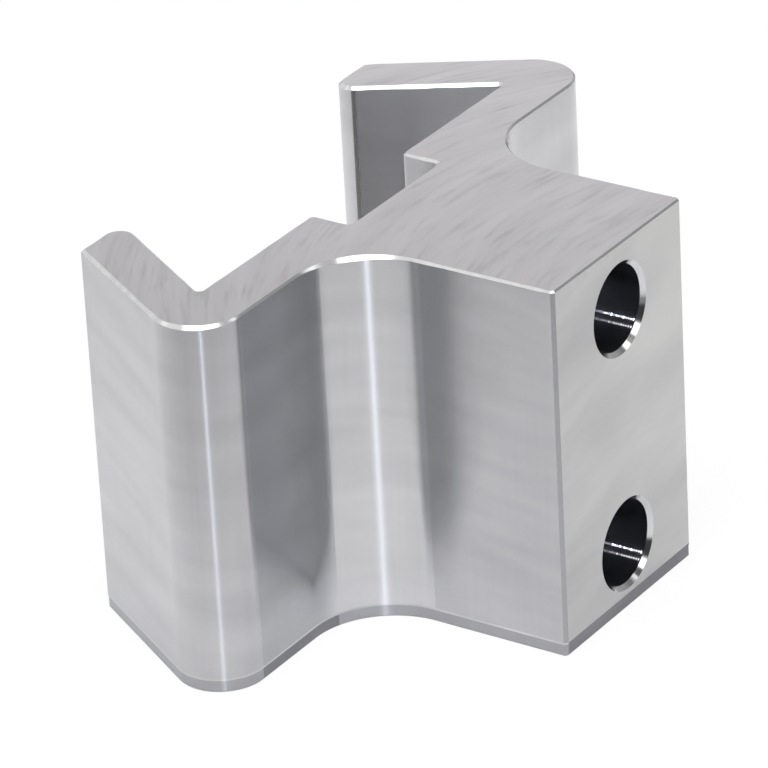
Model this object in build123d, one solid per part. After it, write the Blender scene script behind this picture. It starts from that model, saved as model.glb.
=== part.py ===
from build123d import *
import os
from math import cos, radians, sin, tan

# Machined aluminium claw bracket: a bolting block whose far end spreads into a flange,
# with two arms that hook back towards the centre plane.
# Frame: the origin is the middle of the bolting face, +X is that face's outward normal,
# +Z is up along the drilled face, and the XZ plane is the plane of symmetry.
# Millimetres and degrees.

# Overall
height = 40.0
span = 69.5
reach = 46.2

# Bolting block
block_width = 24.0
block_length = 24.0
root_radius = 8.5

# Flange and arms
flange_thickness = 6.4
shoulder_radius = 4.8
arm_thickness = 6.1
arm_lean = 31.0
tip_radius = 1.8
throat_radius = 0.3

# Bolt-head slot between the arms, cut into the back of the flange
slot_width = 16.3
slot_depth = 4.6
slot_corner_radius = 0.5
slot_mouth_radius = 0.7

# Bolt holes, one above the other, clearing an 8 mm bolt, each as far from its own end of the block
hole_diameter = 9.0
hole_to_end = 7.0
hole_chamfer = 0.45

# Edges: the chamfer round the top contour, the break along the top of the bolting face,
# and the break down the two upright corners of that face
contour_chamfer = 0.4
edge_break = 0.2
corner_break = 0.35

# Band left by the second machining set-up, set back a little all round the foot, and its lower edge
foot_height = 1.3
foot_relief = 0.05
foot_break = 0.1

# Planes worked out from the sizes
top_z = height / 2
bottom_z = -height / 2
foot_top_z = bottom_z + foot_height
flange_front_x = -block_length
flange_back_x = flange_front_x - flange_thickness
slot_floor_x = flange_back_x + slot_depth
tip_x = -reach
hole_spacing = height - 2 * hole_to_end


def outline_corners():
    """Sharp corners of the contour on the +Y side, each with its radius, from bolting face to slot floor."""
    lean = radians(arm_lean)
    arm_width_across = arm_thickness / cos(lean)
    shoulder_centre_y = span / 2 - shoulder_radius
    shoulder_y = shoulder_centre_y + shoulder_radius * (1 + sin(lean)) / cos(lean)
    tip_outer_y = shoulder_y - (flange_front_x - tip_x) * tan(lean)
    tip_inner_y = tip_outer_y - arm_width_across
    throat_y = shoulder_y - flange_thickness * tan(lean) - arm_width_across
    sharp = 0
    return [
        ((0, block_width / 2), sharp),
        ((flange_front_x, block_width / 2), root_radius),
        ((flange_front_x, shoulder_y), shoulder_radius),
        ((tip_x, tip_outer_y), sharp),
        ((tip_x, tip_inner_y), tip_radius),
        ((flange_back_x, throat_y), throat_radius),
        ((flange_back_x, slot_width / 2), slot_mouth_radius),
        ((slot_floor_x, slot_width / 2), slot_corner_radius),
    ]


def contour():
    """Plan contour of the bracket, mirrored about the centre plane."""
    half = outline_corners()
    mirrored = [((x, -y), radius) for (x, y), radius in reversed(half)]
    corners = half + mirrored
    points = [point for point, radius in corners]
    radii = [radius for point, radius in corners]
    return make_face(FilletPolyline(*points, radius=radii, close=True))


def bolt_hole(z):
    """Tool for one bolt hole: the bore from the bolting face to the slot floor, with both mouths chamfered."""
    bore_radius = hole_diameter / 2
    mouth_radius = bore_radius + hole_chamfer
    profile = Polyline(
        (0, 0),
        (0, mouth_radius),
        (-hole_chamfer, bore_radius),
        (slot_floor_x + hole_chamfer, bore_radius),
        (slot_floor_x, mouth_radius),
        (slot_floor_x, 0),
        close=True,
    )
    return Pos(0, 0, z) * revolve(make_face(profile), Axis.X)


def claw_bracket():
    """The whole bracket as one solid."""
    plan = contour()
    foot_plan = offset(plan, amount=-foot_relief, kind=Kind.INTERSECTION)
    body = Pos(0, 0, foot_top_z) * extrude(plan, top_z - foot_top_z, dir=(0, 0, 1))

    # Upright corners of the bolting face
    corners = body.edges().filter_by(Axis.Z).group_by(Axis.X)[-1]
    body = chamfer(corners, corner_break)

    # Top contour, then the finer break along the bolting face
    top_edges = body.edges().group_by(Axis.Z)[-1].sort_by(Axis.X)
    body = chamfer(top_edges[:-1], contour_chamfer)
    face_edge = body.edges().group_by(Axis.Z)[-1].sort_by(Axis.X)[-1]
    body = chamfer(face_edge, edge_break)

    # Foot band, broken along its lower edge
    foot = Pos(0, 0, bottom_z) * extrude(foot_plan, foot_height, dir=(0, 0, 1))
    foot = chamfer(foot.edges().filter_by(Axis.Z).group_by(Axis.X)[-1], corner_break)
    foot = chamfer(foot.edges().group_by(Axis.Z)[0], foot_break)

    bracket = body + foot
    for side in (1, -1):
        bracket -= bolt_hole(side * hole_spacing / 2)
    return bracket


bracket = claw_bracket()
bracket.label = "claw_bracket"
os.makedirs("parts", exist_ok=True)
export_step(bracket, "parts/claw_bracket.step")
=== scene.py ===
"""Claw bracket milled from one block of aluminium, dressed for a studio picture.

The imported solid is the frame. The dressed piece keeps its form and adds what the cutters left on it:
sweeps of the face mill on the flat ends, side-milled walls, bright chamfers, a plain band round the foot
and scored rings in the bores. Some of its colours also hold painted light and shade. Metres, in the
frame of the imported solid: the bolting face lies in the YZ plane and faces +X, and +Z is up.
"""

from __future__ import annotations

import logging
import math
from dataclasses import dataclass, field, fields, replace
from enum import Enum, IntEnum
from typing import Any, Mapping, Sequence, Union

import bmesh
import bpy
from mathutils import Matrix, Vector, noise
from mathutils.geometry import delaunay_2d_cdt


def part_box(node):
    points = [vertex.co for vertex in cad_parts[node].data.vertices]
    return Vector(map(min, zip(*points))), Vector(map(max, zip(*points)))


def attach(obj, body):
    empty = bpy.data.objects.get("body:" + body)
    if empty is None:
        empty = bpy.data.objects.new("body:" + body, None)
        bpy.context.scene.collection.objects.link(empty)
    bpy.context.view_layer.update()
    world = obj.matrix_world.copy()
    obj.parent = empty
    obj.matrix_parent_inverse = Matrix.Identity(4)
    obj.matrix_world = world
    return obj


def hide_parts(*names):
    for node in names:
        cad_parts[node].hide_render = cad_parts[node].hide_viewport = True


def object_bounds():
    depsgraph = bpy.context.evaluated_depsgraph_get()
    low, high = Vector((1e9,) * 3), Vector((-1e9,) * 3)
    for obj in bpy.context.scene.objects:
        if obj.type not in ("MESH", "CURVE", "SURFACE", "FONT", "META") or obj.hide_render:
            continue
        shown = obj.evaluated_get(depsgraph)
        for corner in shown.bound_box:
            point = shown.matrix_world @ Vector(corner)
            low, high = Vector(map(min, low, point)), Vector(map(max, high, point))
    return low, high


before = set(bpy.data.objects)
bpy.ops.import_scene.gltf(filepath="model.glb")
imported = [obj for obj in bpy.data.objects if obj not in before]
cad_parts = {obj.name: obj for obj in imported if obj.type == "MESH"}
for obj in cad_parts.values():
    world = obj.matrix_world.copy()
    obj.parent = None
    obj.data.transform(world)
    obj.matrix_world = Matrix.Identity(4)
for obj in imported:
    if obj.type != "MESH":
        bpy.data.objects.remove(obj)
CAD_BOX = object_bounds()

LOG = logging.getLogger("claw_bracket")

NODE = "claw_bracket"
BODY = "root"
MM = 0.001
TURN = 2 * math.pi

Colour = tuple[float, float, float]
Point = tuple[float, float]
Span = tuple[float, float]

WHITE: Colour = (1.0, 1.0, 1.0)
NOISE_SPAN: Span = (0.3, 0.7)


# Node trees


class Wire:
    """One output of a node, with arithmetic that adds Math nodes to its tree."""

    def __init__(self, net: Net, socket: bpy.types.NodeSocket) -> None:
        """Keeps the tree and the output socket."""
        self.net = net
        self.socket = socket

    def __add__(self, other: Number) -> Wire:
        """This value plus another."""
        return self.net.math("ADD", self, other)

    def __radd__(self, other: float) -> Wire:
        """A plain number plus this value."""
        return self.net.math("ADD", other, self)

    def __sub__(self, other: Number) -> Wire:
        """This value less another."""
        return self.net.math("SUBTRACT", self, other)

    def __rsub__(self, other: float) -> Wire:
        """A plain number less this value."""
        return self.net.math("SUBTRACT", other, self)

    def __mul__(self, other: Number) -> Wire:
        """This value times another."""
        return self.net.math("MULTIPLY", self, other)

    def __rmul__(self, other: float) -> Wire:
        """A plain number times this value."""
        return self.net.math("MULTIPLY", other, self)

    def __truediv__(self, other: Number) -> Wire:
        """This value over another."""
        return self.net.math("DIVIDE", self, other)

    def __pow__(self, other: Number) -> Wire:
        """This value to a power."""
        return self.net.math("POWER", self, other)


Number = Union[Wire, float]


class Net:
    """A node tree of any kind, filled by the methods below."""

    def __init__(self, tree: bpy.types.NodeTree) -> None:
        """Keeps the tree and takes out the nodes that it came with."""
        self.tree = tree
        tree.nodes.clear()

    def node(
        self, kind: str, settings: Mapping[str, Any] | None = None, sockets: Mapping[str, Any] | None = None
    ) -> dict[str, Wire]:
        """Adds one node.

        Args:
            kind: The node's type.
            settings: The node's own properties, set before its sockets.
            sockets: Input identifiers, each with a value or a wire.

        Returns:
            The node's outputs by identifier.
        """
        node = self.tree.nodes.new(kind)
        for name, value in (settings or {}).items():
            setattr(node, name, value)
        for identifier, value in (sockets or {}).items():
            socket = next(s for s in node.inputs if s.identifier == identifier)
            if isinstance(value, Wire):
                self.tree.links.new(value.socket, socket)
            else:
                socket.default_value = value
        return {s.identifier: Wire(self, s) for s in node.outputs}

    def math(self, operation: str, a: Number, b: Number = 0.0) -> Wire:
        """A Math node on one or two values."""
        return self.node("ShaderNodeMath", {"operation": operation}, {"Value": a, "Value_001": b})["Value"]

    def vector(self, x: Number, y: Number, z: Number) -> Wire:
        """Three values as one vector."""
        return self.node("ShaderNodeCombineXYZ", {}, {"X": x, "Y": y, "Z": z})["Vector"]

    def parts(self, vector: Wire) -> tuple[Wire, Wire, Wire]:
        """The three values of a vector."""
        node = self.node("ShaderNodeSeparateXYZ", {}, {"Vector": vector})
        return node["X"], node["Y"], node["Z"]

    def blend(self, factor: Number, a: Any, b: Any) -> Wire:
        """A colour between two colours."""
        sockets = {"Factor_Float": factor, "A_Color": opaque(a), "B_Color": opaque(b)}
        return self.node("ShaderNodeMix", {"data_type": "RGBA"}, sockets)["Result_Color"]

    def noise(self, vector: Wire, detail: float = 2.0, distortion: float = 0.0) -> Wire:
        """Noise from 0 to 1, one unit of the vector to a cell."""
        sockets = {"Vector": vector, "Scale": 1.0, "Detail": detail, "Distortion": distortion}
        return self.node("ShaderNodeTexNoise", {}, sockets)["Fac"]

    def spread(self, value: Wire, low: float, high: float) -> Wire:
        """A value stretched so that low becomes 0 and high becomes 1, and held within that."""
        sockets = {"Value": value, "From Min": low, "From Max": high}
        return self.node("ShaderNodeMapRange", {"clamp": True}, sockets)["Result"]


def opaque(colour: Any) -> Any:
    """A plain colour with its alpha, or a wire as it is."""
    return colour if isinstance(colour, Wire) else (*colour, 1.0)


# Finishes


@dataclass(frozen=True)
class Finish:
    """Bare aluminium as one cutter leaves it.

    The marks that a cutter leaves, with painted light on some finishes, are a value from 0 to 1 over the
    surface, which varies the colour, the roughness and the height of the surface together. An offset sets
    one noise apart from another.
    """

    name: str
    dark: Colour
    light: Colour
    roughness: float
    roughness_spread: float = 0.0
    anisotropy: float = 0.0
    anisotropy_turn: float = 0.0
    mark_depth: float = 0.0
    mark_strength: float = 0.0

    def marks(self, net: Net, x: Wire, y: Wire, z: Wire) -> Wire:
        """The cutter's marks over the surface.

        Args:
            net: The material's tree.
            x: Place along the bores.
            y: Place across the arms.
            z: Height.

        Returns:
            A value from 0 to 1.
        """
        raise NotImplementedError

    def colour(self, net: Net, marks: Wire, y: Wire, z: Wire) -> Wire:
        """Colour of the surface, from dark to light by the marks."""
        return net.blend(marks, self.dark, self.light)

    def material(self) -> bpy.types.Material:
        """Builds the finish.

        Returns:
            A new material with its node tree.
        """
        material = bpy.data.materials.new(self.name)
        material.use_nodes = True
        net = Net(material.node_tree)
        x, y, z = net.parts(net.node("ShaderNodeTexCoord")["Object"])
        marks = self.marks(net, x, y, z)
        sockets: dict[str, Any] = {
            "Base Color": self.colour(net, marks, y, z),
            "Metallic": 1.0,
            "Roughness": self.roughness + self.roughness_spread * (0.5 - marks),
            "Anisotropic": self.anisotropy,
            "Anisotropic Rotation": self.anisotropy_turn,
        }
        if self.mark_strength:
            relief = {"Strength": self.mark_strength, "Distance": self.mark_depth, "Height": marks}
            sockets["Normal"] = net.node("ShaderNodeBump", {}, relief)["Normal"]
        shader = net.node("ShaderNodeBsdfPrincipled", {}, sockets)
        net.node("ShaderNodeOutputMaterial", {}, {"Surface": shader["BSDF"]})
        return material


@dataclass(frozen=True)
class FaceMilled(Finish):
    """Flat end swept by a face mill that fed along X, so that its marks are arcs of the cutter's rim."""

    cutter_radius: float = 53 * MM
    stroke_pitch: float = 0.70 * MM
    stroke_length: float = 6.0 * MM
    broad_pitch: float = 2.4 * MM
    broad_length: float = 17.0 * MM
    patch_size: float = 6.0 * MM
    painted_light_width: float = 70.0 * MM
    patch_detail: float = 1.0
    patch_offset: float = 3.1
    broad_offset: float = 7.3
    stroke_span: Span = (0.48, 0.74)
    patch_span: Span = (0.28, 0.66)
    plain: float = 0.645
    stroke_share: float = 0.66
    broad_share: float = 0.72
    painted_light_share: float = 0.66

    def marks(self, net: Net, x: Wire, y: Wire, z: Wire) -> Wire:
        """Scattered strokes along the cutter's arcs over broad streaks, and painted light that makes the
        end lighter towards the far side.

        Args:
            net: The material's tree.
            x: Place along the feed.
            y: Place across the feed.
            z: Height, which sets the two ends apart.

        Returns:
            A value about 0 to 1.
        """
        rim = net.math("SQRT", self.cutter_radius**2 - y * y)
        sweep = x + rim
        fine = net.noise(net.vector(sweep / self.stroke_pitch, y / self.stroke_length, z))
        patch_place = net.vector(x / self.patch_size, y / self.patch_size, z + self.patch_offset)
        patch = net.noise(patch_place, self.patch_detail)
        broad_place = net.vector(sweep / self.broad_pitch, y / self.broad_length, z + self.broad_offset)
        broad = net.noise(broad_place)
        strokes = net.spread(fine, *self.stroke_span) * net.spread(patch, *self.patch_span)
        # Painted light: the ends are made lighter towards the far side
        across = net.spread(y, -self.painted_light_width / 2, self.painted_light_width / 2) - 0.5
        ground = self.plain + (broad - 0.5) * self.broad_share + across * self.painted_light_share
        return ground - strokes * self.stroke_share


@dataclass(frozen=True)
class SideMilled(Finish):
    """Upright wall cut by the side of an end mill: upright tooth marks, and soft level streaks over them.

    Its fine upright grain spreads reflections up and down, and keeps them narrow across.
    """

    roughness: float = 0.23
    roughness_spread: float = 0.02
    anisotropy: float = 1.0
    anisotropy_turn: float = 0.25
    tooth_pitch: float = 0.35 * MM
    tooth_length: float = 14.0 * MM
    tooth_share: float = 0.22
    streak_height: float = 2.6 * MM
    streak_length: float = 14.0 * MM
    streak_slant: float = 0.12

    def marks(self, net: Net, x: Wire, y: Wire, z: Wire) -> Wire:
        """Tooth marks and level streaks.

        Args:
            net: The material's tree.
            x: Place along the bores.
            y: Place across the arms.
            z: Height.

        Returns:
            A value from 0 to 1.
        """
        teeth = net.noise(net.vector(x / self.tooth_pitch, y / self.tooth_pitch, z / self.tooth_length))
        height = (z + x * self.streak_slant) / self.streak_height
        streaks = net.noise(net.vector(x / self.streak_length, y / self.streak_length, height))
        return net.spread(teeth * self.tooth_share + streaks * (1 - self.tooth_share), *NOISE_SPAN)


@dataclass(frozen=True)
class FlangeMilled(SideMilled):
    """Front of the near flange, made darker than the other walls with painted shade, which fades out beside
    the root and low down.
    """

    root_colour: Colour = (0.59, 0.586, 0.59)
    painted_shade_fade_y: Span = (-20.5 * MM, -17.4 * MM)
    painted_shade_fade_z: Span = (-11.0 * MM, -17.5 * MM)

    def colour(self, net: Net, marks: Wire, y: Wire, z: Wire) -> Wire:
        """Colour of the surface, whose painted shade fades to the root's colour beside the root and low
        down.

        Args:
            net: The material's tree.
            marks: The cutter's marks.
            y: Place across the arms.
            z: Height.

        Returns:
            The colour.
        """
        # The painted shade fades out beside the root and low down
        beside = net.spread(y, *self.painted_shade_fade_y)
        below = net.spread(z, *self.painted_shade_fade_z)
        return net.blend(beside * beside * below, super().colour(net, marks, y, z), self.root_colour)


@dataclass(frozen=True)
class FlyCut(Finish):
    """Flat face planed by a wide cutter that fed across it: faint level streaks and soft patches."""

    streak_pitch: float = 0.9 * MM
    streak_length: float = 14.0 * MM
    patch_height: float = 5.5 * MM
    patch_length: float = 17.0 * MM
    patch_lean: float = 0.25
    patch_warp: float = 0.3
    patch_offset: float = 4.7
    streak_share: float = 0.15
    face_width: float = 24.0 * MM
    face_height: float = 40.0 * MM
    plain: float = 0.50
    patch_share: float = 0.72
    painted_corner_light_share: float = 0.72

    def marks(self, net: Net, x: Wire, y: Wire, z: Wire) -> Wire:
        """Level streaks and soft patches that lean a little, and painted light that makes the face lighter
        towards the far upper corner.

        Args:
            net: The material's tree.
            x: Place along the bores, the same all over the face.
            y: Place across the face.
            z: Height.

        Returns:
            A value about 0 to 1.
        """
        streaks = net.noise(net.vector(y / self.streak_length, z / self.streak_pitch, x))
        height = (z - y * self.patch_lean) / self.patch_height
        patch_place = net.vector(y / self.patch_length, height, x + self.patch_offset)
        patches = net.noise(patch_place, distortion=self.patch_warp)
        both = streaks * self.streak_share + patches * (1 - self.streak_share)
        uneven = net.spread(both, *NOISE_SPAN) - 0.5
        # Painted light: the face is made lighter towards its far upper corner
        corner = net.math("MAXIMUM", y / self.face_width + z / self.face_height, 0.0)
        return self.plain + uneven * self.patch_share + corner * self.painted_corner_light_share


@dataclass(frozen=True)
class CutEdge(Finish):
    """Edge cut by a chamfering tool, smoother and brighter than the faces beside it."""

    chatter_pitch: float = 1.3 * MM

    def marks(self, net: Net, x: Wire, y: Wire, z: Wire) -> Wire:
        """Chatter along the edge, as a value from 0 to 1."""
        chatter = net.noise(net.vector(x / self.chatter_pitch, y / self.chatter_pitch, z))
        return net.spread(chatter, *NOISE_SPAN)


@dataclass(frozen=True)
class BoredWall(Finish):
    """Wall of a bore, ringed by the tool that cut it."""

    ring_pitch: float = 0.35 * MM
    ring_length: float = 6.0 * MM
    ring_detail: float = 3.0

    def marks(self, net: Net, x: Wire, y: Wire, z: Wire) -> Wire:
        """Rings along the bore, as a value from 0 to 1."""
        place = net.vector(x / self.ring_pitch, y / self.ring_length, z / self.ring_length)
        return net.spread(net.noise(place, self.ring_detail), *NOISE_SPAN)


class Zone(IntEnum):
    """Surfaces of the bracket that one cutter finished, some with painted light or shade in their colour,
    in the order of the piece's material slots.
    """

    ENDS = 0
    WALLS = 1
    BOLTING_FACE = 2
    CHAMFERS = 3
    FOOT = 4
    BORES = 5
    BORE_MOUTHS = 6
    BROKEN_EDGES = 7
    JAWS = 8
    ROOTS = 9
    WITNESS_LINE = 10
    FLANGE = 11
    DULL_FOOT = 12


FINISHES: dict[Zone, Finish] = {
    Zone.ENDS: FaceMilled(
        "face_milled_ends",
        dark=(0.402, 0.393, 0.402),
        light=(0.547, 0.534, 0.544),
        roughness=0.40,
        roughness_spread=0.08,
        mark_depth=0.02 * MM,
        mark_strength=0.10,
    ),
    Zone.WALLS: SideMilled(
        "side_milled_walls",
        dark=(0.468, 0.462, 0.472),
        light=(0.528, 0.522, 0.532),
    ),
    # Painted shade: the near flange is darker than the other walls
    Zone.FLANGE: FlangeMilled(
        "side_milled_flange_painted_shade",
        dark=(0.385, 0.393, 0.400),
        light=(0.440, 0.448, 0.455),
    ),
    # Partly the roots' own finish and partly painted light: lighter than the other walls, for the light
    # that the concave roots gather from the walls beside them
    Zone.ROOTS: SideMilled(
        "side_milled_roots_painted_light",
        dark=(0.56, 0.556, 0.56),
        light=(0.62, 0.616, 0.62),
    ),
    # Painted highlight and shade: light and dark patches along the line stand for the light and shade of a
    # small ledge where the foot meets the wall
    Zone.WITNESS_LINE: SideMilled(
        "witness_line_painted_light_and_shade",
        dark=(0.44, 0.44, 0.44),
        light=(0.70, 0.70, 0.70),
        roughness=0.24,
        tooth_pitch=3.5 * MM,
    ),
    # Painted shade: the jaws between the arms are darker than the other walls
    Zone.JAWS: SideMilled(
        "side_milled_jaws_painted_shade",
        dark=(0.395, 0.388, 0.384),
        light=(0.44, 0.433, 0.429),
        roughness=0.30,
        roughness_spread=0.03,
        anisotropy=0.95,
    ),
    Zone.BOLTING_FACE: FlyCut(
        "fly_cut_bolting_face",
        dark=(0.42, 0.415, 0.42),
        light=(0.53, 0.525, 0.512),
        roughness=0.34,
        roughness_spread=0.06,
    ),
    Zone.CHAMFERS: CutEdge(
        "chamfered_edges",
        dark=(0.57, 0.57, 0.57),
        light=(0.65, 0.65, 0.65),
        roughness=0.24,
        roughness_spread=0.06,
    ),
    Zone.FOOT: SideMilled(
        "foot_band",
        dark=(0.35, 0.35, 0.36),
        light=(0.40, 0.40, 0.41),
        roughness=0.24,
    ),
    # Painted shade: the foot band on the flange and the bolting face is much darker, for the shadow on the
    # floor at the foot
    Zone.DULL_FOOT: SideMilled(
        "foot_band_painted_shade",
        dark=(0.19, 0.19, 0.20),
        light=(0.25, 0.25, 0.26),
        roughness=0.24,
    ),
    Zone.BORES: BoredWall(
        "bored_walls",
        dark=(0.43, 0.435, 0.465),
        light=(0.52, 0.525, 0.555),
        roughness=0.20,
        roughness_spread=0.04,
    ),
    Zone.BORE_MOUTHS: CutEdge(
        "bore_mouths",
        dark=(0.52, 0.52, 0.52),
        light=(0.64, 0.64, 0.64),
        roughness=0.14,
        roughness_spread=0.05,
    ),
    # The broken edges are darker than the faces beside them
    Zone.BROKEN_EDGES: CutEdge(
        "dark_broken_edges",
        dark=(0.33, 0.33, 0.33),
        light=(0.39, 0.39, 0.39),
        roughness=0.34,
        roughness_spread=0.08,
    ),
}


# Form of the bracket


class Run(Enum):
    """Stretch of the plan contour, by the face that it belongs to or the cut that finished it."""

    BOLTING_FACE = "bolting face"
    BROKEN_CORNER = "broken corner"
    SLOT_FLOOR = "slot floor"
    ROOT = "root"
    FLANGE = "flange"
    JAW = "jaw"
    WALL = "wall"


WALL_ZONES: dict[Run, Zone] = {
    Run.BROKEN_CORNER: Zone.BROKEN_EDGES,
    Run.ROOT: Zone.ROOTS,
    Run.FLANGE: Zone.FLANGE,
    Run.JAW: Zone.JAWS,
}

# The foot band on the flange takes the painted shade
FOOT_ZONES: dict[Run, Zone] = {Run.FLANGE: Zone.DULL_FOOT}


@dataclass(frozen=True)
class EdgeWidths:
    """Widths of the chamfer along the top of one side, which was guided by hand and isn't even."""

    face: float = 0.18 * MM
    block: float = 0.25 * MM
    root: float = 0.43 * MM
    flange: float = 0.20 * MM
    shoulder: float = 0.42 * MM
    arm: float = 0.31 * MM
    tip: float = 0.30 * MM
    jaw: float = 0.36 * MM
    throat: float = 0.27 * MM
    slot: float = 0.24 * MM


NEAR_EDGES = EdgeWidths()
FAR_EDGES = EdgeWidths(
    root=0.20 * MM, flange=0.20 * MM, shoulder=0.20 * MM, arm=0.24 * MM, tip=0.46 * MM, jaw=0.32 * MM
)


@dataclass(frozen=True)
class Corner:
    """Corner of the plan contour before it is rounded, and the run that starts there.

    The run before the corner goes on round the first part of the bend, by lead_share.
    """

    x: float
    y: float
    edge: float
    run_edge: float
    radius: float = 0.0
    run: Run = Run.WALL
    bend_run: Run = Run.WALL
    lead_share: float = 0.0


@dataclass(frozen=True)
class Station:
    """Point of the contour, the way it moves inwards, its chamfer's width and what lies before the next."""

    x: float
    y: float
    inwards: Vector
    edge: float
    run: Run

    def inset(self, depth: float) -> Point:
        """The point moved inwards."""
        return self.x + self.inwards.x * depth, self.y + self.inwards.y * depth


@dataclass(frozen=True)
class Level:
    """Height at which the contour is drawn, how far in, and the zone of the surface up to the next level.

    The chamfer's width at each station is added to the inset edge_in times, and comes off the height
    edge_down times.
    """

    z: float
    inset: float
    zone: Zone
    face_zone: Zone
    edge_in: float = 0.0
    edge_down: float = 0.0

    def zone_on(self, run: Run) -> Zone:
        """The zone above this level on one run.

        Args:
            run: The run of the contour.

        Returns:
            The zone, by the cut that finished the run.
        """
        if run is Run.BOLTING_FACE:
            return self.face_zone
        by_run = {Zone.WALLS: WALL_ZONES, Zone.FOOT: FOOT_ZONES}.get(self.zone, {})
        return by_run.get(run, self.zone)

    def ring(self, stations: Sequence[Station]) -> list[Vector]:
        """The contour's points at this level."""
        return [
            Vector((*s.inset(self.inset + self.edge_in * s.edge), self.z - self.edge_down * s.edge))
            for s in stations
        ]


def leftward(heading: Vector) -> Vector:
    """The direction square to a heading in plan, on its left."""
    return Vector((-heading.y, heading.x))


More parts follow.
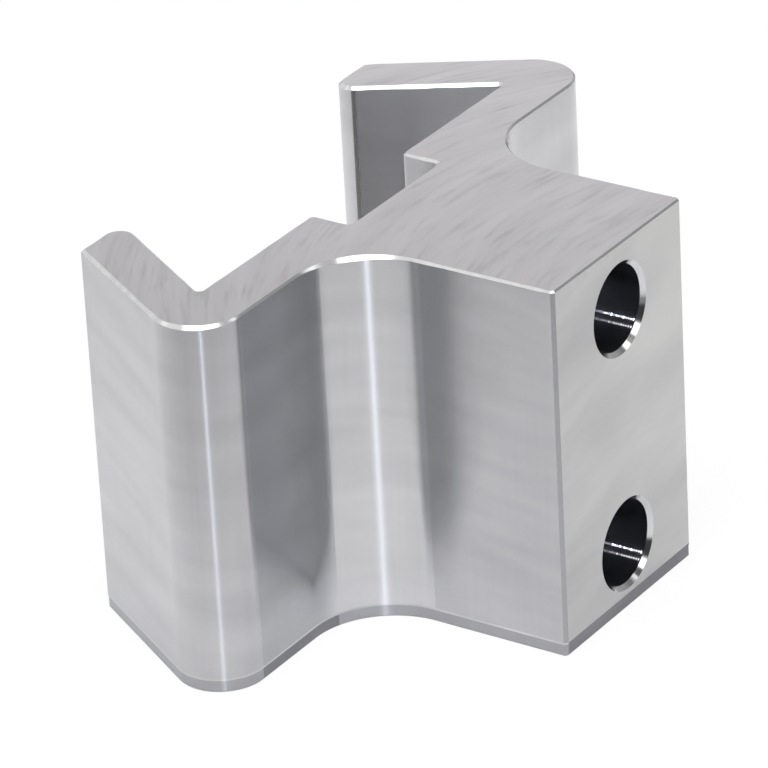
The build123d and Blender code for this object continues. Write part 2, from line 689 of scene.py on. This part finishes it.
@dataclass
class PlanContour:
    """Outline of the bracket seen from above, the same on both sides of the centre plane."""

    span: float
    reach: float
    block_width: float = 24.0 * MM
    block_length: float = 24.0 * MM
    root_radius: float = 8.5 * MM
    flange_thickness: float = 6.4 * MM
    shoulder_radius: float = 4.8 * MM
    arm_thickness: float = 6.1 * MM
    arm_lean: float = math.radians(31.0)
    tip_radius: float = 1.8 * MM
    throat_radius: float = 0.3 * MM
    slot_width: float = 16.3 * MM
    slot_depth: float = 4.6 * MM
    slot_corner_radius: float = 0.5 * MM
    slot_mouth_radius: float = 0.7 * MM
    corner_break: float = 0.35 * MM
    arc_step: float = math.radians(2.0)
    arc_steps_least: int = 14
    support: float = 0.12 * MM
    run_step: float = 0.8 * MM
    edge_blend: float = 1.5 * MM
    edge_wave: float = 2.2 * MM
    edge_wander: float = 0.20
    flange_lead: float = 0.24

    @property
    def slot_floor_x(self) -> float:
        """Where the floor of the bolt-head slot lies."""
        return self.slot_depth - self.block_length - self.flange_thickness

    def half(self, edges: EdgeWidths, flange: Run, shoulder: Run) -> list[Corner]:
        """Corners on the +Y side, from the bolting face to the slot floor.

        Args:
            edges: Widths of the chamfer along the top.
            flange: The run along the front of the flange.
            shoulder: The run round the shoulder.

        Returns:
            The corners in order, each with its radius and its chamfer.
        """
        across = self.arm_thickness / math.cos(self.arm_lean)
        slope = math.tan(self.arm_lean)
        front_x = -self.block_length
        back_x = front_x - self.flange_thickness
        block_y = self.block_width / 2
        slot_y = self.slot_width / 2
        shoulder_rise = self.shoulder_radius * (1 + math.sin(self.arm_lean)) / math.cos(self.arm_lean)
        shoulder_y = self.span / 2 - self.shoulder_radius + shoulder_rise
        tip_y = shoulder_y - (self.reach - self.block_length) * slope
        throat_y = shoulder_y - self.flange_thickness * slope - across
        return [
            Corner(0.0, block_y - self.corner_break, edges.face, edges.face, run=Run.BROKEN_CORNER),
            Corner(-self.corner_break, block_y, edges.face, edges.block),
            Corner(front_x, block_y, edges.root, edges.flange, self.root_radius, flange, Run.ROOT),
            Corner(front_x, shoulder_y, edges.shoulder, edges.arm, self.shoulder_radius, bend_run=shoulder),
            Corner(-self.reach, tip_y, edges.tip, edges.tip),
            Corner(-self.reach, tip_y - across, edges.tip, edges.jaw, self.tip_radius, Run.JAW, Run.ROOT),
            Corner(back_x, throat_y, edges.throat, edges.throat, self.throat_radius, Run.JAW, Run.JAW),
            Corner(back_x, slot_y, edges.slot, edges.slot, self.slot_mouth_radius),
            Corner(
                self.slot_floor_x, slot_y, edges.slot, edges.slot, self.slot_corner_radius, Run.SLOT_FLOOR
            ),
        ]

    def corners(self) -> list[Corner]:
        """Corners all round, the last of them at the start of the bolting face.

        On the far side, the cut that finished the root went on round the flange and the shoulder, which
        take the root's lighter tone, partly painted light.

        Returns:
            The corners, anticlockwise from above.
        """
        far = self.half(FAR_EDGES, Run.ROOT, Run.ROOT)
        near = self.half(NEAR_EDGES, Run.FLANGE, Run.WALL)
        runs_before = [Run.BOLTING_FACE] + [c.run for c in near[:-1]]
        edges_before = [near[0].edge] + [c.run_edge for c in near[:-1]]
        leads = [self.flange_lead if c.run is Run.FLANGE else 0.0 for c in near]
        mirrored = [
            replace(c, y=-c.y, run_edge=edge, run=run, lead_share=lead)
            for c, edge, run, lead in zip(near, edges_before, runs_before, leads)
        ]
        return far + mirrored[::-1]

    def stations(self) -> list[Station]:
        """Points all round the contour, closest together round its corners.

        Returns:
            The points, anticlockwise from above.
        """
        corners = self.corners()
        previous = corners[-1:] + corners[:-1]
        following = corners[1:] + corners[:1]
        bends = [self.bend(*three) for three in zip(previous, corners, following)]
        stations: list[Station] = []
        for corner, bend, after in zip(corners, bends, bends[1:] + bends[:1]):
            stations += bend + self.straight(bend[-1], after[0], corner.run_edge)
        return stations

    def bend(self, before: Corner, corner: Corner, after: Corner) -> list[Station]:
        """Points round one corner, with one more on each straight run close to a round.

        Args:
            before: The corner before.
            corner: The corner itself.
            after: The corner after.

        Returns:
            One point for a sharp corner, or the points round the arc in order.
        """
        tip = Vector((corner.x, corner.y))
        into = (tip - Vector((before.x, before.y))).normalized()
        out = (Vector((after.x, after.y)) - tip).normalized()
        first, last = leftward(into), leftward(out)
        if not corner.radius:
            mitre = (first + last) / (1 + first.dot(last))
            return [Station(tip.x, tip.y, mitre, corner.edge, corner.run)]
        turn = math.atan2(into.x * out.y - into.y * out.x, into.dot(out))
        side = math.copysign(1.0, turn)
        tangent = corner.radius * math.tan(abs(turn) / 2)
        begin = tip - into * tangent
        centre = begin + first * corner.radius * side
        middle = (before.run_edge + corner.run_edge) / 2
        steps = max(self.arc_steps_least, round(abs(turn) / self.arc_step))
        lead = begin - into * self.support
        lead_run = Run.WALL if before.run is Run.SLOT_FLOOR else before.run
        stations = [Station(lead.x, lead.y, first, self.uneven(lead, before.run_edge), lead_run)]
        for k in range(steps + 1):
            share = k / steps
            normal = Matrix.Rotation(turn * share, 2) @ first
            place = centre - normal * corner.radius * side
            plain = before.run_edge + (corner.run_edge - before.run_edge) * share
            edge = plain + (corner.edge - middle) * math.sin(math.pi * share) ** 2
            run = before.run if share < corner.lead_share else corner.bend_run
            stations.append(Station(place.x, place.y, normal, self.uneven(place, edge), run))
        trail = tip + out * (tangent + self.support)
        return stations + [Station(trail.x, trail.y, last, self.uneven(trail, corner.run_edge), corner.run)]

    def straight(self, start: Station, end: Station, edge: float) -> list[Station]:
        """Points along a straight run, apart from its ends.

        Args:
            start: Where the run starts.
            end: Where it ends.
            edge: Width of the chamfer along the run.

        Returns:
            The points in order, none for the two drilled faces.
        """
        if start.run in (Run.BOLTING_FACE, Run.SLOT_FLOOR):
            return []
        here = Vector((start.x, start.y))
        way = Vector((end.x, end.y)) - here
        normal = leftward(way.normalized())
        count = int(way.length / self.run_step)
        stations: list[Station] = []
        for k in range(1, count + 1):
            share = k / (count + 1)
            place = here + way * share
            at_start = max(0.0, 1 - way.length * share / self.edge_blend)
            at_end = max(0.0, 1 - way.length * (1 - share) / self.edge_blend)
            width = edge + (start.edge - edge) * at_start + (end.edge - edge) * at_end
            stations.append(Station(place.x, place.y, normal, self.uneven(place, width), start.run))
        return stations

    def uneven(self, place: Vector, width: float) -> float:
        """A chamfer's width with the wander of the hand that guided it."""
        wave = noise.noise(Vector((place.x, place.y, 0.0)) / self.edge_wave)
        return width * (1 + self.edge_wander * wave)


SOCKET_KINDS: dict[type, str] = {
    float: "NodeSocketFloat",
    int: "NodeSocketInt",
    bpy.types.Material: "NodeSocketMaterial",
}


@dataclass
class BoltBores:
    """Two bores for bolts, from the bolting face to the floor of the slot, with both mouths chamfered."""

    depth: float
    spacing: float
    radius: float = 4.5 * MM
    chamfer: float = 0.45 * MM
    sides: int = 144
    count: int = 2
    ring_pitch: float = 0.28 * MM
    ledge_width: float = 0.09 * MM
    ledge_slope: float = math.radians(26.0)
    ledge_least: float = 0.80
    score_angle: float = math.radians(-38.75)
    score_gap: float = math.radians(10.0)
    score_half_angle: float = math.radians(1.5)
    weld: float = 0.001 * MM
    seed: int = 7

    def circle(self, x: float, radius: float, z: float) -> list[Vector]:
        """One ring of points round a bore.

        Args:
            x: Place along the bore.
            radius: The ring's radius.
            z: Height of the bore's axis.

        Returns:
            The points, one for each side of the bore.
        """
        angles = [TURN * (k / self.sides - 0.5) for k in range(self.sides)]
        return [Vector((x, radius * math.cos(a), z + radius * math.sin(a))) for a in angles]

    def heights(self) -> list[float]:
        """Heights of the bores' axes, from the lowest."""
        return [self.spacing * (k - (self.count - 1) / 2) for k in range(self.count)]

    def tree(self, values: Mapping[str, Any]) -> bpy.types.NodeTree:
        """Geometry Nodes tree of the ringed bore walls.

        Args:
            values: The bores' sizes and their finish by name.

        Returns:
            The tree, with a named input for each value.
        """
        tree = bpy.data.node_groups.new("bore_tool_rings", "GeometryNodeTree")
        for name, value in values.items():
            tree.interface.new_socket(name, in_out="INPUT", socket_type=SOCKET_KINDS[type(value)])
        result = tree.interface.new_socket("Bores", in_out="OUTPUT", socket_type="NodeSocketGeometry")
        net = Net(tree)
        given = {wire.socket.name: wire for wire in net.node("NodeGroupInput").values()}
        copies = self.copies(net, given, self.tube(net, given))
        realized = net.node("GeometryNodeRealizeInstances", {}, {"Geometry": copies})
        dressing = {"Geometry": realized["Geometry"], "Material": given["Finish"]}
        dressed = net.node("GeometryNodeSetMaterial", {}, dressing)
        net.node("NodeGroupOutput", {}, {result.identifier: dressed["Geometry"]})
        return tree

    def tube(self, net: Net, given: Mapping[str, Wire]) -> Wire:
        """Wall of one bore, about an axis through the origin.

        Args:
            net: The bores' tree.
            given: The tree's inputs by name.

        Returns:
            The wall's mesh.
        """
        # A flat grid, with two rows of points to each ring
        length = given["Depth"] - given["Chamfer"] * 2.0
        rings = net.math("ROUND", length / given["Ring Pitch"])
        rows = rings * 2.0
        sides = given["Sides"]
        sheet = {"Size X": 1.0, "Size Y": 1.0, "Vertices X": rows + 1.0, "Vertices Y": sides + 1.0}
        grid = net.node("GeometryNodeMeshGrid", {}, sheet)["Mesh"]
        u, v, _ = net.parts(net.node("GeometryNodeInputPosition")["Position"])

        # In the two strips that the chips scored, each ring widens slowly and ends at a narrow ledge that
        # faces the bolting face, each to a depth of its own
        row = net.math("ROUND", (u + 0.5) * rows)
        odd = net.math("MODULO", row, 2.0)
        ring = (row - odd) / 2.0
        pitch = length / rings
        along = ring * pitch + odd * (pitch - given["Ledge Width"])
        chance = {"Min_001": given["Ledge Least"], "Max_001": 1.0, "ID": ring, "Seed": given["Seed"]}
        share = net.node("FunctionNodeRandomValue", {"data_type": "FLOAT"}, chance)["Value_001"]
        angle = v * TURN
        aside = angle - given["Score Angle"]
        half_angle = given["Score Half Angle"]
        upper = net.math("LESS_THAN", net.math("ABSOLUTE", aside), half_angle)
        lower = net.math("LESS_THAN", net.math("ABSOLUTE", aside + given["Score Gap"]), half_angle)
        scored = upper + lower
        ledge_depth = given["Ledge Width"] * net.math("TANGENT", given["Ledge Slope"])
        radius = given["Radius"] + ledge_depth * odd * share * scored

        # The grid rolled up about the bore's axis
        rolled = net.vector(
            given["Chamfer"] * -1.0 - along,
            radius * net.math("COSINE", angle),
            radius * net.math("SINE", angle),
        )
        moved = net.node("GeometryNodeSetPosition", {}, {"Geometry": grid, "Position": rolled})
        weld = {"Geometry": moved["Geometry"], "Distance": given["Weld"]}
        return net.node("GeometryNodeMergeByDistance", {}, weld)["Geometry"]

    def copies(self, net: Net, given: Mapping[str, Wire], tube: Wire) -> Wire:
        """One tube for each bore, one above the other.

        Args:
            net: The bores' tree.
            given: The tree's inputs by name.
            tube: Wall of one bore.

        Returns:
            The instances.
        """
        count, spacing = given["Count"], given["Spacing"]
        column = {
            "Count": count,
            "Start Location": net.vector(0.0, 0.0, spacing * (count - 1.0) * -0.5),
            "Offset": net.vector(0.0, 0.0, spacing),
        }
        axes = net.node("GeometryNodeMeshLine", {"mode": "OFFSET"}, column)["Mesh"]
        return net.node("GeometryNodeInstanceOnPoints", {}, {"Points": axes, "Instance": tube})["Instances"]

    def walls(self, finish: bpy.types.Material) -> bpy.types.Mesh:
        """Plain mesh of the ringed walls of both bores.

        Args:
            finish: Material of the bore walls.

        Returns:
            The evaluated mesh, in place.
        """
        sizes = {size.name.replace("_", " ").title(): getattr(self, size.name) for size in fields(self)}
        values = {**sizes, "Finish": finish}
        tree = self.tree(values)
        holder = bpy.data.objects.new("bore_walls", bpy.data.meshes.new("bore_walls"))
        bpy.context.scene.collection.objects.link(holder)
        modifier = holder.modifiers.new("rings", "NODES")
        modifier.node_group = tree
        for item in tree.interface.items_tree:
            if item.in_out == "INPUT":
                modifier[item.identifier] = values[item.name]
        graph = bpy.context.evaluated_depsgraph_get()
        mesh = bpy.data.meshes.new_from_object(holder.evaluated_get(graph))
        holder.modifiers.remove(modifier)
        bpy.data.objects.remove(holder)
        return mesh


class Plane(Enum):
    """Plane of a flat surface, by the two axes that lie in it."""

    ENDS = (0, 1)
    DRILLED_FACES = (1, 2)


class Shell:
    """Vertices and faces of a closed surface, gathered before they become a mesh."""

    INSIDE_ONLY = 1
    NEAREST = 1e-9

    def __init__(self) -> None:
        """Starts with nothing."""
        self.points: list[Vector] = []
        self.faces: list[tuple[int, ...]] = []
        self.zones: list[Zone] = []

    def add_points(self, points: Sequence[Vector]) -> list[int]:
        """Adds points and gives their numbers."""
        first = len(self.points)
        self.points += points
        return list(range(first, len(self.points)))

    def add_face(self, corners: Sequence[int], zone: Zone) -> None:
        """Adds one face of a zone."""
        self.faces.append(tuple(corners))
        self.zones.append(zone)

    def bridge(self, one: Sequence[int], other: Sequence[int], zone: Zone) -> None:
        """Adds a band of four-sided faces between two closed rings of as many points.

        Args:
            one: Numbers of the first ring's points.
            other: Numbers of the second ring's points.
            zone: The band's zone.
        """
        for k in range(len(one)):
            self.add_face((one[k - 1], one[k], other[k], other[k - 1]), zone)

    def fill(self, rim: Sequence[int], holes: Sequence[Sequence[int]], plane: Plane, zone: Zone) -> None:
        """Fills a flat rim with triangles that leave its holes open.

        Args:
            rim: Numbers of the points round the outside.
            holes: Numbers of the points round each hole.
            plane: The surface's plane.
            zone: The surface's zone.
        """
        across, up = plane.value
        flat = [Vector((point[across], point[up])) for point in self.points]
        loops = [list(rim), *map(list, holes)]
        numbers = [n for loop in loops for n in loop]
        places = [flat[n] for n in numbers]
        edges: list[tuple[int, int]] = []
        start = 0
        for loop in loops:
            edges += [(start + k, start + (k + 1) % len(loop)) for k in range(len(loop))]
            start += len(loop)
        discs: list[tuple[Vector, float]] = []
        for hole in holes:
            ring = [flat[n] for n in hole]
            middle = sum(ring, Vector((0.0, 0.0))) / len(ring)
            discs.append((middle, (ring[0] - middle).length))
        filled = delaunay_2d_cdt(places, edges, [], self.INSIDE_ONLY, self.NEAREST)
        coordinates, _, triangles, sources, _, _ = filled
        for triangle in triangles:
            centre = sum((coordinates[k] for k in triangle), Vector((0.0, 0.0))) / len(triangle)
            if any((centre - middle).length < radius for middle, radius in discs):
                continue
            self.add_face([numbers[sources[k][0]] for k in triangle], zone)

    def mesh(self, name: str) -> bpy.types.Mesh:
        """The surface as a mesh, each face with its zone as its material's place."""
        mesh = bpy.data.meshes.new(name)
        mesh.from_pydata(self.points, [], self.faces)
        mesh.polygons.foreach_set("material_index", [int(z) for z in self.zones])
        return mesh


@dataclass
class ClawBracket:
    """The whole bracket: a bolting block that spreads into a flange with two hooked arms."""

    top_z: float
    bottom_z: float
    contour: PlanContour
    hole_to_end: float = 7.0 * MM
    foot_height: float = 1.3 * MM
    foot_relief: float = 0.05 * MM
    foot_break: float = 0.1 * MM
    witness_height: float = 0.2 * MM
    smooth_angle: float = math.radians(10.0)
    weld: float = 0.002 * MM
    bores: BoltBores = field(init=False)

    def __post_init__(self) -> None:
        """Sets the bores by the height and the slot."""
        spacing = self.top_z - self.bottom_z - 2 * self.hole_to_end
        self.bores = BoltBores(depth=-self.contour.slot_floor_x, spacing=spacing)

    @classmethod
    def from_frame(cls, node: str) -> ClawBracket:
        """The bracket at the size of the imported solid.

        Args:
            node: The solid's name.

        Returns:
            The bracket, not yet built.
        """
        low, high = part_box(node)
        contour = PlanContour(span=high.y - low.y, reach=high.x - low.x)
        return cls(top_z=high.z, bottom_z=low.z, contour=contour)

    def levels(self) -> list[Level]:
        """Heights at which the contour is drawn.

        Returns:
            The levels from the underside to the top.
        """
        foot_top = self.bottom_z + self.foot_height
        relief = self.foot_relief
        return [
            Level(self.bottom_z, relief + self.foot_break, Zone.BROKEN_EDGES, Zone.BROKEN_EDGES),
            # On the bolting face the foot band takes the painted shade
            Level(self.bottom_z + self.foot_break, relief, Zone.FOOT, Zone.DULL_FOOT),
            Level(foot_top, relief, Zone.FOOT, Zone.DULL_FOOT),
            Level(foot_top, 0.0, Zone.WITNESS_LINE, Zone.DULL_FOOT),
            Level(foot_top + self.witness_height, 0.0, Zone.WALLS, Zone.BOLTING_FACE),
            Level(self.top_z, 0.0, Zone.CHAMFERS, Zone.CHAMFERS, edge_down=1.0),
            Level(self.top_z, 0.0, Zone.ENDS, Zone.ENDS, edge_in=1.0),
        ]

    def shell(self) -> Shell:
        """Everything but the bore walls.

        Returns:
            The surface, open where the bore walls go.
        """
        shell = Shell()
        levels = self.levels()
        stations = self.contour.stations()
        numbers = [shell.add_points(level.ring(stations)) for level in levels]
        count = len(stations)
        runs = [s.run for s in stations]

        # Flat ends
        shell.fill(numbers[0], [], Plane.ENDS, Zone.ENDS)
        shell.fill(numbers[-1], [], Plane.ENDS, Zone.ENDS)

        # Bands between the levels, apart from the two drilled faces
        drilled: dict[Run, list[tuple[int, int]]] = {Run.BOLTING_FACE: [], Run.SLOT_FLOOR: []}
        for low, high, level in zip(numbers, numbers[1:], levels):
            for k in range(count):
                after = (k + 1) % count
                zone = level.zone_on(runs[k])
                if runs[k] in drilled and zone in (Zone.BOLTING_FACE, Zone.WALLS):
                    drilled[runs[k]] += [(low[k], low[after]), (high[k], high[after])]
                else:
                    shell.add_face((low[k], low[after], high[after], high[k]), zone)

        # Drilled faces and the chamfered mouths of the bores
        faces = {
            Run.BOLTING_FACE: (0.0, -1.0, Zone.BOLTING_FACE),
            Run.SLOT_FLOOR: (-self.bores.depth, 1.0, Zone.WALLS),
        }
        for run, (x, inwards, zone) in faces.items():
            rows = list(dict.fromkeys(drilled[run]))
            rim = [row[0] for row in rows] + [row[1] for row in reversed(rows)]
            mouths: list[list[int]] = []
            for z in self.bores.heights():
                chamfer, radius = self.bores.chamfer, self.bores.radius
                outer = shell.add_points(self.bores.circle(x, radius + chamfer, z))
                inner = shell.add_points(self.bores.circle(x + inwards * chamfer, radius, z))
                shell.bridge(outer, inner, Zone.BORE_MOUTHS)
                mouths.append(outer)
            shell.fill(rim, mouths, Plane.DRILLED_FACES, zone)
        return shell

    def build(self) -> bpy.types.Object:
        """Builds the closed mesh of the bracket and dresses it.

        Returns:
            The piece, at the origin, with its place in its mesh.
        """
        materials = {zone: finish.material() for zone, finish in FINISHES.items()}
        body = self.shell().mesh("claw_bracket_milled")
        walls = self.bores.walls(materials[Zone.BORES])
        joined = bmesh.new()
        joined.from_mesh(body)
        body_faces = len(joined.faces)
        joined.from_mesh(walls)
        joined.faces.ensure_lookup_table()
        for face in joined.faces[body_faces:]:
            face.material_index = Zone.BORES
        bmesh.ops.remove_doubles(joined, verts=joined.verts, dist=self.weld)
        bmesh.ops.recalc_face_normals(joined, faces=joined.faces)
        open_edges = sum(not edge.is_manifold for edge in joined.edges)
        joined.to_mesh(body)
        joined.free()
        bpy.data.meshes.remove(walls)
        if open_edges:
            raise RuntimeError(f"the bracket's surface has {open_edges} open edges")
        for zone in Zone:
            body.materials.append(materials[zone])
        body.shade_smooth()
        body.set_sharp_from_angle(angle=self.smooth_angle)
        piece = bpy.data.objects.new("claw_bracket_milled", body)
        bpy.context.scene.collection.objects.link(piece)
        return piece


# Studio


def toward(azimuth: float, elevation: float) -> Vector:
    """A direction from the bracket.

    Args:
        azimuth: Degrees anticlockwise from +X, seen from above.
        elevation: Degrees above the floor.

    Returns:
        The unit vector.
    """
    a, e = math.radians(azimuth), math.radians(elevation)
    return Vector((math.cos(a) * math.cos(e), math.sin(a) * math.cos(e), math.sin(e)))


@dataclass(frozen=True)
class Lamp:
    """Soft box that faces the bracket."""

    name: str
    azimuth: float
    elevation: float
    distance: float
    width: float
    height: float
    radiance: float
    colour: Colour = WHITE

    def place(self, aim: Vector) -> bpy.types.Object:
        """Adds the lamp.

        Args:
            aim: Point that the lamp faces.

        Returns:
            The lamp's object.
        """
        light = bpy.data.lights.new(self.name, "AREA")
        light.shape = "RECTANGLE"
        light.size = self.width
        light.size_y = self.height
        light.energy = self.radiance * math.pi * self.width * self.height
        light.color = self.colour
        lamp = bpy.data.objects.new(self.name, light)
        direction = toward(self.azimuth, self.elevation)
        lamp.matrix_world = Matrix.LocRotScale(
            aim + direction * self.distance, direction.to_track_quat("Z", "Y"), None
        )
        lamp.visible_camera = False
        bpy.context.scene.collection.objects.link(lamp)
        return lamp


COOL_WHITE: Colour = (0.78, 0.84, 1.0)
WARM_WHITE: Colour = (1.0, 0.985, 0.955)


@dataclass
class Studio:
    """Pale floor with a painted pool of light, soft lamps and a room that is lightest behind the bracket on
    its left.
    """

    floor_z: float
    aim: Vector
    floor_size: float = 12.0
    floor_white: float = 0.88
    floor_light: Colour = (0.92, 0.92, 0.92)
    floor_pale: Colour = (0.72, 0.72, 0.72)
    floor_dark: Colour = (0.20, 0.20, 0.20)
    light_x: float = -80.0 * MM
    light_y: float = 70.0 * MM
    light_reach: float = 0.090
    pale_reach: float = 0.180
    dark_reach: float = 0.260
    room_light_azimuth: float = 150.0
    room_light_elevation: float = 20.0
    room_dark: Colour = (0.05, 0.05, 0.053)
    room_light: Colour = (1.04, 1.04, 1.05)
    room_span: Span = (-0.2, 0.9)
    lamps: tuple[Lamp, ...] = (
        Lamp("front_box", -55.0, 61.0, 0.70, 0.66, 0.60, 3.1, WARM_WHITE),
        Lamp("left_box", -140.0, 46.0, 0.70, 0.44, 0.30, 0.55),
        Lamp("right_box", -7.0, 33.0, 0.80, 0.27, 0.22, 2.6),
        Lamp("middle_right_box", 14.0, 47.0, 0.80, 0.16, 0.24, 0.7),
        Lamp("upper_right_box", 34.0, 42.0, 0.80, 0.21, 0.18, 2.4),
        Lamp("camera_lamp", -55.5, 30.0, 0.90, 0.030, 0.030, 500.0, COOL_WHITE),
        Lamp("upper_camera_lamp", -55.5, 40.0, 0.90, 0.030, 0.030, 500.0, COOL_WHITE),
        Lamp("low_camera_lamp", -55.5, 6.0, 0.90, 0.050, 0.160, 13.5, COOL_WHITE),
    )

    def floor(self) -> bpy.types.Object:
        """Adds the floor, which shows white to the camera and keeps a soft shadow. To everything else its
        colour holds a painted pool of light behind the bracket on its left, paler further out and darker
        still beyond.

        Returns:
            The floor's object.
        """
        half = self.floor_size / 2
        mesh = bpy.data.meshes.new("floor")
        corners = [(-half, -half), (half, -half), (half, half), (-half, half)]
        mesh.from_pydata([(x, y, self.floor_z) for x, y in corners], [], [(0, 1, 2, 3)])
        material = bpy.data.materials.new("pale_floor")
        material.use_nodes = True
        net = Net(material.node_tree)
        camera = net.node("ShaderNodeLightPath")["Is Camera Ray"]
        x, y, _ = net.parts(net.node("ShaderNodeTexCoord")["Object"])
        # Painted pool of light: seen in reflections, the floor's colour is lightest near a point behind the
        # bracket on its left and pales further out
        away = net.math("SQRT", (x - self.light_x) ** 2.0 + (y - self.light_y) ** 2.0)
        pool_fade = net.spread(away, self.light_reach, self.pale_reach)
        darkening = net.spread(away, self.pale_reach, self.dark_reach)
        painted_pool = net.blend(pool_fade, self.floor_light, self.floor_pale)
        sheet = net.blend(darkening, painted_pool, self.floor_dark)
        matte = net.node("ShaderNodeBsdfDiffuse", {}, {"Color": net.blend(camera, sheet, self.floor_light)})
        white = net.node("ShaderNodeEmission", {}, {"Color": opaque(WHITE), "Strength": 1.0})
        mixed = net.node(
            "ShaderNodeMixShader",
            {},
            {
                "Fac": camera * self.floor_white,
                "Shader": matte["BSDF"],
                "Shader_001": white["Emission"],
            },
        )
        net.node("ShaderNodeOutputMaterial", {}, {"Surface": mixed["Shader"]})
        mesh.materials.append(material)
        floor = bpy.data.objects.new("floor", mesh)
        bpy.context.scene.collection.objects.link(floor)
        return floor

    def room(self) -> bpy.types.World:
        """Adds the room round the floor: white to the camera, and a soft gradient to everything else.

        Returns:
            The world.
        """
        world = bpy.data.worlds.new("studio_room")
        world.use_nodes = True
        net = Net(world.node_tree)
        heading = net.node("ShaderNodeTexCoord")["Generated"]
        x, y, z = net.parts(heading)
        light = toward(self.room_light_azimuth, self.room_light_elevation)
        facing = x * light.x + y * light.y + z * light.z
        glow = net.blend(net.spread(facing, *self.room_span), self.room_dark, self.room_light)
        camera = net.node("ShaderNodeLightPath")["Is Camera Ray"]
        colour = net.blend(camera, glow, WHITE)
        background = net.node("ShaderNodeBackground", {}, {"Color": colour, "Strength": 1.0})
        net.node("ShaderNodeOutputWorld", {}, {"Surface": background["Background"]})
        bpy.context.scene.world = world
        return world

    def build(self) -> None:
        """Adds the floor, the room and the lamps."""
        self.floor()
        self.room()
        for lamp in self.lamps:
            lamp.place(self.aim)
            LOG.info("lamp %s", lamp.name)


@dataclass
class PhotoCamera:
    """Camera that stands where the photograph was taken."""

    target: Vector
    azimuth: float = 34.5294
    elevation: float = 26.824
    roll: float = -3.1165
    distance: float = 594.0 * MM
    slide: float = -4.3216 * MM
    lift: float = -0.5721 * MM
    focal_pixels: float = 5913.14
    picture_width: int = 768
    sensor_width: float = 36.0
    clip_start: float = 0.05
    clip_end: float = 50.0

    def place(self) -> bpy.types.Object:
        """Adds the camera and makes it the scene's own.

        Returns:
            The camera's object.
        """
        back = toward(self.azimuth - 90.0, self.elevation)
        right = Vector((0.0, 0.0, 1.0)).cross(back).normalized()
        up = back.cross(right)
        turn = math.radians(self.roll)
        across = right * math.cos(turn) + up * math.sin(turn)
        upward = up * math.cos(turn) - right * math.sin(turn)
        data = bpy.data.cameras.new("photo_camera")
        data.sensor_width = self.sensor_width
        data.lens = self.focal_pixels * self.sensor_width / self.picture_width
        data.clip_start = self.clip_start
        data.clip_end = self.clip_end
        camera = bpy.data.objects.new("photo_camera", data)
        place = self.target + back * self.distance + across * self.slide + upward * self.lift
        axes = Matrix((across, upward, back)).transposed()
        camera.matrix_world = Matrix.Translation(place) @ axes.to_4x4()
        bpy.context.scene.collection.objects.link(camera)
        bpy.context.scene.camera = camera
        return camera


def main() -> None:
    """Builds the bracket, the studio and the camera."""
    logging.basicConfig(level=logging.INFO, format="%(name)s: %(message)s")
    bpy.context.scene.view_settings.view_transform = "Standard"

    bracket = ClawBracket.from_frame(NODE)
    piece = bracket.build()
    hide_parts(NODE)
    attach(piece, BODY)
    LOG.info("piece %s: %d faces", piece.name, len(piece.data.polygons))

    low, high = CAD_BOX
    Studio(floor_z=low.z, aim=(low + high) / 2).build()
    PhotoCamera(target=(low + high) / 2).place()


if __name__ == "__main__":
    main()
